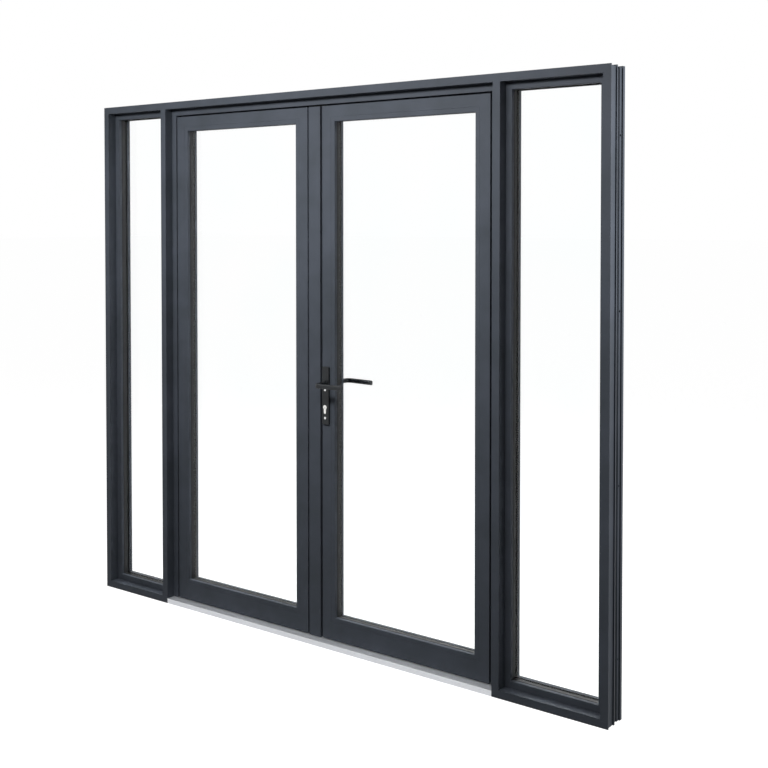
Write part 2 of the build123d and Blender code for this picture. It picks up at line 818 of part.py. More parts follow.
def faceplate_room(thickness):
    """The room of the lock's faceplate in the edge of the leaf."""
    half = faceplate_width / 2
    middle = spindle_height - faceplate_drop
    return block(active_edge, active_edge + thickness, lock_depth - half, lock_depth + half,
                 middle - faceplate_length / 2, middle + faceplate_length / 2)


def bolt_room(z, height, x0, x1, room):
    """The room of a bolt with the given height, in the lock's thickness."""
    half = case_thickness / 2 - case_wall - lock_part_clearance + room
    return block(x0, x1, lock_depth - half, lock_depth + half, z - height / 2 - room,
                 z + height / 2 + room)


def lock_body():
    """The lock's hollow case and its faceplate."""
    x0 = active_edge + faceplate_thickness
    x1 = x0 + case_depth
    half = case_thickness / 2
    z0, z1 = spindle_height - case_drop, spindle_height + case_rise
    case = block(x0, x1, lock_depth - half, lock_depth + half, z0, z1)
    case = case - block(x0 + case_wall, x1 - case_wall, lock_depth - half + case_wall,
                        lock_depth + half - case_wall, z0 + case_wall, z1 - case_wall)
    case = case - rod_y(journal_radius + running_clearance, spindle_x, spindle_height, front, back)
    case = case - cylinder_run(cylinder_hole_clearance, frame_depth)
    for drop in (upper_screw_drop, lower_screw_drop):
        radius = screw_radius + screw_clearance
        case = case - rod_y(radius, spindle_x, spindle_height - drop, front, back)
    latch_z = spindle_height + latch_rise
    deadbolt_z = spindle_height - deadbolt_drop
    reach = active_edge + faceplate_thickness + 2 * case_wall
    latch_hole = bolt_room(latch_z, latch_height, active_edge - 1, reach, bolt_clearance)
    deadbolt_hole = bolt_room(deadbolt_z, deadbolt_height, active_edge - 1, reach, bolt_clearance)
    faceplate = without([faceplate_room(faceplate_thickness)], [latch_hole, deadbolt_hole])
    return without([case], [latch_hole, deadbolt_hole]), faceplate


def follower():
    """The lock's turning nut with its square hole, journals and the nose that draws the latch."""
    half = case_thickness / 2 - case_wall - lock_part_clearance
    nut = rod_y(follower_radius, spindle_x, spindle_height, lock_y - half, lock_y + half)
    journal = case_thickness / 2
    nut = nut + rod_y(journal_radius, spindle_x, spindle_height, lock_y - journal, lock_y + journal)
    side = spindle_side + 2 * running_clearance
    hole = Pos(spindle_x, lock_y, spindle_height) * Box(side, case_thickness + 2, side)
    return nut - hole


def latch():
    """The spring latch with its bevelled nose and the tail that slides in the case."""
    z = spindle_height + latch_rise
    tip = active_edge - latch_proud
    heel = tip + latch_length
    body = bolt_room(z, latch_height, tip, heel, 0.0)
    half = case_thickness / 2 - case_wall - lock_part_clearance
    low = lock_y - half
    wedge = make_face(Polyline((tip, low), (tip + latch_bevel, low), (tip, lock_y + half - wall),
                               close=True))
    bevel = Pos(0, 0, z - latch_height) * extrude(wedge, 2 * latch_height)
    tail = bolt_room(z, latch_tail_height, heel, heel + latch_tail, 0.0)
    return body - bevel + tail


def deadbolt():
    """The square bolt, drawn back just inside the faceplate, with softened edges."""
    z = spindle_height - deadbolt_drop
    x0 = active_edge + deadbolt_sunk
    body = bolt_room(z, deadbolt_height, x0, x0 + deadbolt_length, 0.0)
    return chamfer(body.faces().sort_by(Axis.X)[0].edges(), bolt_clearance * 5)


def cylinder_pieces():
    """The profile cylinder's body, and the plug with its cam and keyways."""
    body = cylinder_run(0.0, cylinder_length)
    y0 = leaf_middle_y - cylinder_length / 2
    y1 = leaf_middle_y + cylinder_length / 2
    body = body - rod_y(plug_radius + running_clearance, spindle_x, cylinder_height, y0 - 1, y1 + 1)
    notch_low = cylinder_height - cam_radius - lock_part_clearance
    notch = Pos(spindle_x, lock_y, notch_low + cylinder_total_height) * Box(
        4 * cylinder_radius, cam_gap, 2 * cylinder_total_height)
    body = body - notch
    plug = rod_y(plug_radius, spindle_x, cylinder_height, y0, y1)
    cam = rod_y(cylinder_radius, spindle_x, cylinder_height, lock_y - cam_width / 2,
                lock_y + cam_width / 2)
    nose = Pos(spindle_x, lock_y, cylinder_height - cam_radius / 2 - plug_radius / 4) * Box(
        plug_radius, cam_width, cam_radius - plug_radius / 2)
    plug = plug + cam + nose
    for y in (y0, y1):
        keyway = Pos(spindle_x, y, cylinder_height - keyway_height / 4) * Box(
            keyway_width, 2 * keyway_depth, keyway_height)
        plug = plug - keyway
    return body, plug


def backplate():
    """The front backplate: a shallow cover with bosses for the screws."""
    outer = block(spindle_x - plate_width / 2, spindle_x + plate_width / 2, recess - plate_thickness,
                  recess, plate_centre - plate_height / 2, plate_centre + plate_height / 2)
    outer = fillet(outer.edges().filter_by(Axis.Y), 2 * plate_edge)
    outer = fillet(outer.faces().sort_by(Axis.Y)[0].edges(), plate_edge)
    inner = block(spindle_x - plate_width / 2 + plate_wall, spindle_x + plate_width / 2 - plate_wall,
                  recess - plate_thickness + plate_wall, recess + 1,
                  plate_centre - plate_height / 2 + plate_wall,
                  plate_centre + plate_height / 2 - plate_wall)
    ends = (plate_front_y + plate_edge, plate_front_y + plate_thickness)
    cover = outer - inner
    for drop in (upper_screw_drop, lower_screw_drop):
        cover = cover + rod_y(plate_boss_radius, spindle_x, spindle_height - drop, *ends)
    cover = cover + rod_y(collar_radius + plate_wall, spindle_x, spindle_height, *ends)
    far = plate_front_y + plate_thickness + 1
    cover = cover - rod_y(collar_radius + running_clearance, spindle_x, spindle_height,
                          plate_front_y - 1, far)
    cover = cover - cylinder_run(cylinder_hole_clearance, 3 * frame_depth)
    for drop in (upper_screw_drop, lower_screw_drop):
        cover = cover - rod_y(screw_radius + running_clearance, spindle_x, spindle_height - drop,
                              plate_front_y - 1, far)
    return cover


def other_face(shape):
    """The same piece mirrored to the other face of the leaf."""
    return mirror(shape, about=Plane(origin=(0, leaf_middle_y, 0), z_dir=(0, 1, 0)))


def plate_screws():
    """Two long screws that pull both backplates together through the leaf."""
    screws = []
    for drop in (upper_screw_drop, lower_screw_drop):
        z = spindle_height - drop
        shank = rod_y(screw_radius, spindle_x, z, plate_front_y, plate_back_y - plate_edge)
        head = rod_y(screw_head_radius, spindle_x, z, plate_front_y - screw_head_height, plate_front_y)
        slot = Pos(spindle_x, plate_front_y - screw_head_height, z) * Box(
            2 * screw_head_radius + 1, screw_head_height, keyway_width)
        screws.append(shank + head - slot)
    return screws


def front_lever():
    """The lever on the viewed face: a collar, a round elbow and a slightly curved grip."""
    collar_end = plate_front_y - collar_length / 2
    centre = plate_front_y - lever_standoff
    grip_z = spindle_height - lever_drop
    start = (spindle_x, collar_end, grip_z)
    straight = Line(start, (spindle_x, centre + lever_bend, grip_z))
    elbow = JernArc(start=straight @ 1, tangent=straight % 1, radius=lever_bend, arc_size=90)
    grip = JernArc(start=elbow @ 1, tangent=elbow % 1, radius=lever_grip_radius,
                   arc_size=lever_grip_angle)
    path = straight + elbow + grip
    lying = Plane(origin=start, x_dir=(1, 0, 0), z_dir=(0, -1, 0))
    section = RectangleRounded(lever_thickness, lever_height, lever_corner)
    blade = sweep(lying * section, path=path)
    collar = rod_y(collar_radius, spindle_x, spindle_height, collar_end - collar_length / 2,
                   plate_front_y + plate_thickness - wall)
    side = spindle_side + 2 * running_clearance
    socket_end = collar_end - collar_length / 2 + wall
    socket = Pos(spindle_x, (socket_end + back) / 2, spindle_height) * Box(
        side, back - socket_end, side)
    return blade + collar - socket


def spindle():
    """The square spindle that joins both levers through the follower."""
    end = plate_front_y - collar_length + 2 * wall
    length = 2 * (leaf_middle_y - end)
    return Pos(spindle_x, leaf_middle_y, spindle_height) * Box(spindle_side, length, spindle_side)


def handle_set():
    """Every piece of the lock and handle, by node."""
    case, faceplate = lock_body()
    cover = backplate()
    lever = front_lever()
    body, plug = cylinder_pieces()
    return {
        "lock_case": case,
        "lock_faceplate": faceplate,
        "handle_backplates": [cover, other_face(cover)],
        "backplate_screws": plate_screws(),
        "front_lever": [lever],
        "rear_lever": [other_face(lever)],
        "lever_spindle": [spindle()],
        "lock_follower": [follower()],
        "latch_bolt": [latch()],
        "deadbolt": [deadbolt()],
        "cylinder_body": [body],
        "cylinder_plug": [plug],
    }


# Assembly

def assemble():
    """Builds every node of the door and its frame."""
    nodes, plastic, drills = outer_frame()
    nodes["frame_corner_cleats"] = corner_cleats()
    stops, stop_plastic = door_stops()
    nodes.update(stops)
    nodes["door_stop_seals"] = stop_seals()
    nodes["threshold"], threshold_core = threshold()
    nodes["frame_thermal_strips"] = plastic + stop_plastic + [threshold_core]
    names = ("sidelight_rebates", "sidelight_beads", "sidelight_panes", "sidelight_spacers",
             "sidelight_gaskets", "sidelight_packers")
    for name in names:
        nodes[name] = []
    for side in (-1, 1):
        rebate, beads, panes, spacer, gaskets, packers = sidelight_pieces(side, drills)
        for name, pieces in zip(names, (rebate, beads, panes, [spacer], gaskets, packers)):
            nodes[name] += pieces
    nodes.update(leaf("passive", -leaf_half, passive_edge, True))
    nodes.update(leaf("active", active_edge, leaf_half, False))
    nodes["meeting_strip"], strip_plastic = meeting_strip()
    nodes["passive_thermal_strips"] += strip_plastic
    nodes["strike_plate"] = strike_plate()
    nodes["strip_end_caps"] = strip_caps()
    top_bolt, bottom_bolt = shoot_bolts()
    nodes["top_shoot_bolt"] = [top_bolt]
    nodes["bottom_shoot_bolt"] = [bottom_bolt]
    nodes.update(hinges())
    stile = "active_meeting_stile"
    nodes[stile] = without(nodes[stile], lock_holes() + [faceplate_room(faceplate_thickness)])
    nodes.update(handle_set())
    return nodes


def main():
    """Writes one STEP file for each node."""
    os.makedirs("parts", exist_ok=True)
    for name, pieces in assemble().items():
        solids = [solid for piece in pieces for solid in piece.solids()]
        shape = solids[0] if len(solids) == 1 else Compound(children=solids)
        export_step(shape, f"parts/{name}.step")
        print(name, len(solids))


main()
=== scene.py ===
"""Looks of a glazed aluminium double door with two fixed sidelights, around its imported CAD.

The CAD's nodes get their finishes here. The script adds what is too fine for the CAD: the screws
and bearing rings of the hinges, the screws of the lock's plates, brush seals under both leaves,
and the rounded lips of the glazing gaskets. Every piece is in metres, in the frame of the CAD:
X to the right, Z up and Y from the viewed face to the hinge side at the back.
"""

import json
import logging
import math
from dataclasses import dataclass, field
from enum import Enum
from typing import Any, Iterable, Sequence

import bmesh
import bpy
from mathutils import Euler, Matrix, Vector


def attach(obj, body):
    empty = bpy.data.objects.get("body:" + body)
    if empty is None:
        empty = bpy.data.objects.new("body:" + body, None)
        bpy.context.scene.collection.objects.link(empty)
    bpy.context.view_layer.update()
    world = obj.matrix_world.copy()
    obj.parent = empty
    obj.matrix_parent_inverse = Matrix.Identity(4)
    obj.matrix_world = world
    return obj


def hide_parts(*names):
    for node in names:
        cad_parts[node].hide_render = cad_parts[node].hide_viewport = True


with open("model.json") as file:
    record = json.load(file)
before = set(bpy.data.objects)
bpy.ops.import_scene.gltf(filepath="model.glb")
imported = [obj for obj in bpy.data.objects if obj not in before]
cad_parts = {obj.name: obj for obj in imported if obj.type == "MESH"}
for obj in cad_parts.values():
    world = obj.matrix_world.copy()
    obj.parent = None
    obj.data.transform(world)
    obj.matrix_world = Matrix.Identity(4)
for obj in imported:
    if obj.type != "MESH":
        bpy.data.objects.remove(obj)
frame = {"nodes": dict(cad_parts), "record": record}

logging.basicConfig(level=logging.INFO, format="%(levelname)s %(message)s")
log = logging.getLogger("door")

Colour = tuple[float, float, float, float]
Pair = tuple[float, float]
Point = tuple[float, float, float]
Rectangle = tuple[float, float, float, float]
Span = tuple[float, float]

MM = 0.001
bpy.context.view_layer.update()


class Body(Enum):
    """The rigid bodies of the door that the script's own pieces ride on."""

    FRAME = "frame"
    ACTIVE_LEAF = "active_leaf"
    PASSIVE_LEAF = "passive_leaf"


class Slot(Enum):
    """The record's material slots."""

    PAINT = "grey_paint"
    SILVER = "silver_anodised"
    PLASTIC = "thermal_plastic"
    RUBBER = "gasket_rubber"
    GLASS = "clear_glass"
    SPACER = "spacer_plastic"
    PACKER = "packer_plastic"
    HANDLE = "handle_metal"
    BRIGHT = "bright_steel"
    LOCK = "lock_steel"
    CYLINDER = "cylinder_brass"


class Facing(Enum):
    """Which way a screw's head looks, as the turn that takes it there from +Z."""

    BACK = (-math.pi / 2, 0.0, 0.0)
    LEFT = (0.0, -math.pi / 2, 0.0)
    RIGHT = (0.0, math.pi / 2, 0.0)


@dataclass(frozen=True)
class Leaf:
    """A door leaf: its name, its body and the span between its two stiles."""

    name: str
    body: Body
    left: float
    right: float


LEAVES = (
    Leaf("passive", Body.PASSIVE_LEAF, -0.720, -0.092),
    Leaf("active", Body.ACTIVE_LEAF, 0.065, 0.720),
)


def hex_to_linear(code: str) -> Colour:
    """Turns an sRGB hex colour to linear light.

    Args:
        code: Six hex digits after a hash.

    Returns:
        Red, green, blue and an alpha of 1.
    """
    parts = [int(code[i:i + 2], 16) / 255 for i in (1, 3, 5)]
    red, green, blue = (
        part / 12.92 if part <= 0.04045 else ((part + 0.055) / 1.055) ** 2.4 for part in parts)
    return red, green, blue, 1.0


def add_node(tree: bpy.types.NodeTree, kind: str, settings: dict[Any, Any] | None = None,
             links: dict[Any, bpy.types.NodeSocket] | None = None) -> bpy.types.Node:
    """Adds a node with its settings and links.

    Args:
        tree: The node tree.
        kind: The node's type.
        settings: Values by the name or number of an input, or by the name of a property.
        links: Output sockets by the name or number of the input they feed.

    Returns:
        The new node.
    """
    node = tree.nodes.new(kind)
    for name, value in (settings or {}).items():
        if isinstance(name, str) and hasattr(node, name) and name not in node.inputs:
            setattr(node, name, value)
        else:
            node.inputs[name].default_value = value
    for name, socket in (links or {}).items():
        tree.links.new(socket, node.inputs[name])
    return node


def ramp_stops(node: bpy.types.Node, stops: Sequence[tuple[float, str]]) -> bpy.types.NodeSocket:
    """Sets the stops of a colour ramp.

    Args:
        node: The ramp.
        stops: Pairs of place and hex colour, from low to high.

    Returns:
        The ramp's colour socket.
    """
    elements = node.color_ramp.elements
    while len(elements) < len(stops):
        elements.new(1.0)
    for element, (place, code) in zip(elements, stops):
        element.position = place
        element.color = hex_to_linear(code)
    return node.outputs["Color"]


# Finishes


@dataclass(frozen=True)
class Finish:
    """What every finish has: a name, its slot, and a principled shader to build on."""

    name: str
    slot: Slot

    def start(self) -> tuple[bpy.types.Material, bpy.types.NodeTree, bpy.types.Node]:
        """Makes an empty material with one principled shader.

        Returns:
            The material, its tree and the shader.
        """
        material = bpy.data.materials.new(self.name)
        material.use_nodes = True
        tree = material.node_tree
        tree.nodes.clear()
        shader = add_node(tree, "ShaderNodeBsdfPrincipled")
        add_node(tree, "ShaderNodeOutputMaterial", links={"Surface": shader.outputs["BSDF"]})
        return material, tree, shader

    def place(self, tree: bpy.types.NodeTree,
              scale: Point = (1.0, 1.0, 1.0)) -> bpy.types.NodeSocket:
        """Gives object coordinates in metres, stretched by a scale.

        Args:
            tree: The material's tree.
            scale: The stretch along each axis.

        Returns:
            The vector socket.
        """
        where = add_node(tree, "ShaderNodeTexCoord")
        stretch = add_node(tree, "ShaderNodeMapping", {"Scale": scale},
                           {"Vector": where.outputs["Object"]})
        return stretch.outputs["Vector"]


@dataclass(frozen=True)
class PowderCoat(Finish):
    """Polyester powder coat on extruded aluminium, baked on.

    It is satin, with a fine orange peel from the flow of the powder and a faint cloudiness of
    its colour and gloss.
    """

    light: str = "#4d525b"
    mid: str = "#484d55"
    dark: str = "#43484f"
    roughness: float = 0.5
    gloss_swing: Span = (-0.05, 0.07)
    shine: float = 0.1
    ior: float = 1.5
    peel: float = 1.1 * MM
    peel_depth: float = 0.08 * MM
    cloud: float = 180 * MM
    bump: float = 0.22

    def make(self) -> bpy.types.Material:
        """Builds the coat.

        Returns:
            The material.
        """
        material, tree, shader = self.start()
        where = self.place(tree)
        clouds = add_node(tree, "ShaderNodeTexNoise", {"Scale": 1 / self.cloud, "Detail": 3.0,
                                                       "Roughness": 0.6}, {"Vector": where})
        tone = add_node(tree, "ShaderNodeValToRGB", links={"Fac": clouds.outputs["Fac"]})
        colour = ramp_stops(tone, [(0.32, self.dark), (0.5, self.mid), (0.7, self.light)])
        tree.links.new(colour, shader.inputs["Base Color"])
        # The peel of a real coat is 0.3 to 0.6 mm across; it is drawn coarser so that it shows.
        peel = add_node(tree, "ShaderNodeTexNoise", {"Scale": 1 / self.peel, "Detail": 2.0,
                                                     "Roughness": 0.5}, {"Vector": where})
        gloss = add_node(tree, "ShaderNodeMapRange", {
            "To Min": self.roughness + self.gloss_swing[0],
            "To Max": self.roughness + self.gloss_swing[1]}, {"Value": clouds.outputs["Fac"]})
        tree.links.new(gloss.outputs["Result"], shader.inputs["Roughness"])
        relief = add_node(tree, "ShaderNodeBump", {
            "Strength": self.bump, "Distance": self.peel_depth}, {"Height": peel.outputs["Fac"]})
        tree.links.new(relief.outputs["Normal"], shader.inputs["Normal"])
        shader.inputs["IOR"].default_value = self.ior
        shader.inputs["Specular IOR Level"].default_value = self.shine
        return material


@dataclass(frozen=True)
class DrawnMetal(Finish):
    """A bare, plated or anodised metal with fine lines from drawing or brushing along one axis."""

    light: str
    dark: str
    roughness: float
    gloss_swing: Span = (-0.06, 0.08)
    line: float = 0.6 * MM
    line_depth: float = 0.05 * MM
    along: Point = (0.02, 1.0, 1.0)
    bump: float = 0.12
    metallic: float = 1.0

    def make(self) -> bpy.types.Material:
        """Builds the metal.

        Returns:
            The material.
        """
        material, tree, shader = self.start()
        where = self.place(tree, self.along)
        # Brush lines are 0.05 to 0.2 mm apart; they are drawn wider so that they show.
        lines = add_node(tree, "ShaderNodeTexNoise", {"Scale": 1 / self.line, "Detail": 4.0,
                                                      "Roughness": 0.65}, {"Vector": where})
        tone = add_node(tree, "ShaderNodeValToRGB", links={"Fac": lines.outputs["Fac"]})
        colour = ramp_stops(tone, [(0.3, self.dark), (0.7, self.light)])
        tree.links.new(colour, shader.inputs["Base Color"])
        gloss = add_node(tree, "ShaderNodeMapRange", {
            "To Min": self.roughness + self.gloss_swing[0],
            "To Max": self.roughness + self.gloss_swing[1]}, {"Value": lines.outputs["Fac"]})
        tree.links.new(gloss.outputs["Result"], shader.inputs["Roughness"])
        relief = add_node(tree, "ShaderNodeBump", {
            "Strength": self.bump, "Distance": self.line_depth}, {"Height": lines.outputs["Fac"]})
        tree.links.new(relief.outputs["Normal"], shader.inputs["Normal"])
        shader.inputs["Metallic"].default_value = self.metallic
        return material


@dataclass(frozen=True)
class MouldedPlastic(Finish):
    """A moulded or extruded plastic with a fine grain from its tool."""

    light: str = "#242527"
    dark: str = "#18191a"
    roughness: float = 0.5
    ior: float = 1.52
    grain: float = 0.9 * MM
    grain_depth: float = 0.06 * MM
    bump: float = 0.2

    def make(self) -> bpy.types.Material:
        """Builds the plastic.

        Returns:
            The material.
        """
        material, tree, shader = self.start()
        where = self.place(tree)
        # A tool's grain is 0.1 to 0.3 mm across; it is drawn coarser so that it shows.
        grain = add_node(tree, "ShaderNodeTexNoise", {"Scale": 1 / self.grain, "Detail": 5.0,
                                                      "Roughness": 0.7}, {"Vector": where})
        tone = add_node(tree, "ShaderNodeValToRGB", links={"Fac": grain.outputs["Fac"]})
        colour = ramp_stops(tone, [(0.35, self.dark), (0.65, self.light)])
        tree.links.new(colour, shader.inputs["Base Color"])
        relief = add_node(tree, "ShaderNodeBump", {
            "Strength": self.bump, "Distance": self.grain_depth}, {"Height": grain.outputs["Fac"]})
        tree.links.new(relief.outputs["Normal"], shader.inputs["Normal"])
        shader.inputs["Roughness"].default_value = self.roughness
        shader.inputs["IOR"].default_value = self.ior
        return material


@dataclass(frozen=True)
class Rubber(Finish):
    """Extruded EPDM rubber: near black and matt, with a paler bloom in patches 22 mm apart."""

    deep: str = "#0f1011"
    bloom: str = "#1d1e20"
    roughness: float = 0.72
    ior: float = 1.5
    patches_per_metre: float = 45.0
    patch_depth: float = 0.08 * MM
    bump: float = 0.15

    def make(self) -> bpy.types.Material:
        """Builds the rubber.

        Returns:
            The material.
        """
        material, tree, shader = self.start()
        where = self.place(tree)
        bloom = add_node(tree, "ShaderNodeTexNoise", {"Scale": self.patches_per_metre,
                                                      "Detail": 6.0, "Roughness": 0.75},
                         {"Vector": where})
        tone = add_node(tree, "ShaderNodeValToRGB", links={"Fac": bloom.outputs["Fac"]})
        colour = ramp_stops(tone, [(0.4, self.deep), (0.75, self.bloom)])
        tree.links.new(colour, shader.inputs["Base Color"])
        relief = add_node(tree, "ShaderNodeBump", {
            "Strength": self.bump, "Distance": self.patch_depth}, {"Height": bloom.outputs["Fac"]})
        tree.links.new(relief.outputs["Normal"], shader.inputs["Normal"])
        shader.inputs["Roughness"].default_value = self.roughness
        shader.inputs["IOR"].default_value = self.ior
        return material


@dataclass(frozen=True)
class FloatGlass(Finish):
    """Clear float glass, fire-polished: smooth, with the faintest cool tint in slow waves.

    Its IOR is under the 1.52 of real glass, because the panes show hardly any reflection.
    """

    tint: str = "#feffff"
    clear: str = "#ffffff"
    shadow: str = "#fbfcfc"
    ior: float = 1.2
    waves_per_metre: float = 3.0

    def make(self) -> bpy.types.Material:
        """Builds the glass, which lets lamps shine through to what stands behind.

        Returns:
            The material.
        """
        material, tree, shader = self.start()
        where = self.place(tree)
        waviness = add_node(tree, "ShaderNodeTexNoise", {
            "Scale": self.waves_per_metre, "Detail": 1.0}, {"Vector": where})
        tone = add_node(tree, "ShaderNodeValToRGB", links={"Fac": waviness.outputs["Fac"]})
        colour = ramp_stops(tone, [(0.3, self.tint), (0.7, self.clear)])
        tree.links.new(colour, shader.inputs["Base Color"])
        shader.inputs["Roughness"].default_value = 0.0
        shader.inputs["IOR"].default_value = self.ior
        shader.inputs["Transmission Weight"].default_value = 1.0
        lit = add_node(tree, "ShaderNodeBsdfTransparent", {"Color": hex_to_linear(self.shadow)})
        path = add_node(tree, "ShaderNodeLightPath")
        mixed = add_node(tree, "ShaderNodeMixShader", links={
            0: path.outputs["Is Shadow Ray"], 1: shader.outputs["BSDF"], 2: lit.outputs["BSDF"]})
        output = tree.nodes["Material Output"]
        tree.links.new(mixed.outputs["Shader"], output.inputs["Surface"])
        return material


@dataclass(frozen=True)
class WarmEdgeSpacer(Finish):
    """Extruded warm-edge spacer of a glass unit: matt black plastic with breather holes.

    The holes' radius is a part of their pitch.
    """

    body: str = "#17181a"
    hole: str = "#060606"
    roughness: float = 0.6
    pitch: float = 5 * MM
    hole_radius: float = 0.16

    def make(self) -> bpy.types.Material:
        """Builds the spacer, with a round hole at every pitch.

        Returns:
            The material.
        """
        material, tree, shader = self.start()
        step = 1 / self.pitch
        where = self.place(tree, (step, step, step))
        dots = add_node(tree, "ShaderNodeTexVoronoi", {"Scale": 1.0, "Randomness": 0.0},
                        {"Vector": where})
        edge = add_node(tree, "ShaderNodeMath", {"operation": "LESS_THAN", 1: self.hole_radius},
                        {0: dots.outputs["Distance"]})
        # Inputs 6 and 7 of a colour mix are its two colours, and output 2 is the result.
        colour = add_node(tree, "ShaderNodeMix", {"data_type": "RGBA", 6: hex_to_linear(self.body),
                                                  7: hex_to_linear(self.hole)},
                          {0: edge.outputs["Value"]})
        tree.links.new(colour.outputs[2], shader.inputs["Base Color"])
        shader.inputs["Roughness"].default_value = self.roughness
        return material


@dataclass
class Finishes:
    """Every finish of the door, by the record's slot, and its made materials."""

    made: dict[Slot, bpy.types.Material] = field(default_factory=dict)

    def make(self) -> None:
        """Makes all materials."""
        for finish in (
            # Frame and leaves: an even, dark slate grey with soft, wide highlights.
            PowderCoat("PowderCoatSlateGrey", Slot.PAINT),
            # Threshold and corner cleats: pale silver, milky from its oxide, so only part metal.
            DrawnMetal("AnodisedAluminiumSilver", Slot.SILVER, light="#eceef1", dark="#d8dade",
                       roughness=0.42, metallic=0.6),
            # Thermal strips, end caps and brush holders: near black and dull from glass fibres.
            MouldedPlastic("GlassFilledPolyamide", Slot.PLASTIC),
            # Gaskets and bristles: the darkest and dullest lines of the door.
            Rubber("EPDMRubber", Slot.RUBBER),
            # Panes: clear, so that the eye meets the white behind them.
            FloatGlass("FloatGlass", Slot.GLASS),
            # Between the panes: a black band that frames each of them.
            WarmEdgeSpacer("WarmEdgeSpacer", Slot.SPACER),
            # Glass packers: moulded, a little shiny, and blue as their thickness is coded.
            MouldedPlastic("PolypropylenePacker", Slot.PACKER, light="#2f5a94", dark="#284e84",
                           roughness=0.35),
            # Levers and backplates: black, with a tighter highlight than the frame's grey.
            PowderCoat("BlackPowderCoat", Slot.HANDLE, light="#1c1f22", mid="#181b1e",
                       dark="#14171a", roughness=0.4, shine=0.32, cloud=40 * MM, bump=0.15),
            # Plate screws and hinge pins: bright and nearly smooth.
            DrawnMetal("BrightZincSteel", Slot.BRIGHT, light="#eceded", dark="#dcdddd",
                       roughness=0.22, along=(1.0, 1.0, 0.1), bump=0.06),
            # Lock, bolts, strike plate and hinge screws: a greyer metal, brushed upwards.
            DrawnMetal("ZincPlatedSteel", Slot.LOCK, light="#bcbec0", dark="#a4a6a8",
                       roughness=0.36, along=(1.0, 1.0, 0.05)),
            # Key cylinder: the smoothest metal, with a slightly warm white.
            DrawnMetal("NickelPlatedBrass", Slot.CYLINDER, light="#f2f1ee", dark="#e4e3df",
                       roughness=0.2, line=0.3 * MM, along=(1.0, 1.0, 1.0), bump=0.05),
        ):
            self.made[finish.slot] = finish.make()
            log.info("finish %s", finish.name)

    def dress(self) -> None:
        """Gives every CAD node the finish of its slot."""
        slots = {part["node"]: part["material_slot"] for part in frame["record"]["subparts"]}
        for name, piece in frame["nodes"].items():
            material = self.made[Slot(slots[name])]
            if not piece.material_slots:
                piece.data.materials.append(material)
            for place in piece.material_slots:
                place.material = material


# Meshes


def mesh_piece(name: str, work: bmesh.types.BMesh,
               material: bpy.types.Material) -> bpy.types.Object:
    """Turns a bmesh into an object that stands at the origin.

    Args:
        name: The piece's name.
        work: The bmesh, which is freed.
        material: The piece's finish.

    Returns:
        The new object.
    """
    bmesh.ops.recalc_face_normals(work, faces=work.faces)
    mesh = bpy.data.meshes.new(name)
    work.to_mesh(mesh)
    work.free()
    mesh.materials.append(material)
    piece = bpy.data.objects.new(name, mesh)
    bpy.context.scene.collection.objects.link(piece)
    return piece


def points_piece(name: str, points: Iterable[Point]) -> bpy.types.Object:
    """Makes an object whose mesh is only points, for a node tree to work on.

    Args:
        name: The piece's name.
        points: The places of its points.

    Returns:
        The new object.
    """
    mesh = bpy.data.meshes.new(name)
    mesh.from_pydata(list(points), [], [])
    piece = bpy.data.objects.new(name, mesh)
    bpy.context.scene.collection.objects.link(piece)
    return piece


def settle(piece: bpy.types.Object, body: Body) -> None:
    """Makes a piece ride on a body.

    Args:
        piece: The piece.
        body: The body that carries it.
    """
    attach(piece, body.value)
    log.info("piece %s on %s: %d faces", piece.name, body.value, len(piece.data.polygons))


def sweep_frame(work: bmesh.types.BMesh, section: Sequence[Pair], rectangle: Rectangle) -> None:
    """Sweeps a closed section round a rectangle in the door's plane, with mitred corners.

    Args:
        work: The bmesh that takes the faces.
        section: Points of u, inwards from the rectangle's edge, and y.
        rectangle: Left, right, low and high.
    """
    left, right, low, high = rectangle
    corners = [(left, low, 1, 1), (right, low, -1, 1), (right, high, -1, -1), (left, high, 1, -1)]
    rings = [[work.verts.new((x + way_x * u, y, z + way_z * u)) for u, y in section]
             for x, z, way_x, way_z in corners]
    for i, here in enumerate(rings):
        there = rings[(i + 1) % len(rings)]
        for k in range(len(section)):
            after = (k + 1) % len(section)
            work.faces.new((here[k], here[after], there[after], there[k]))


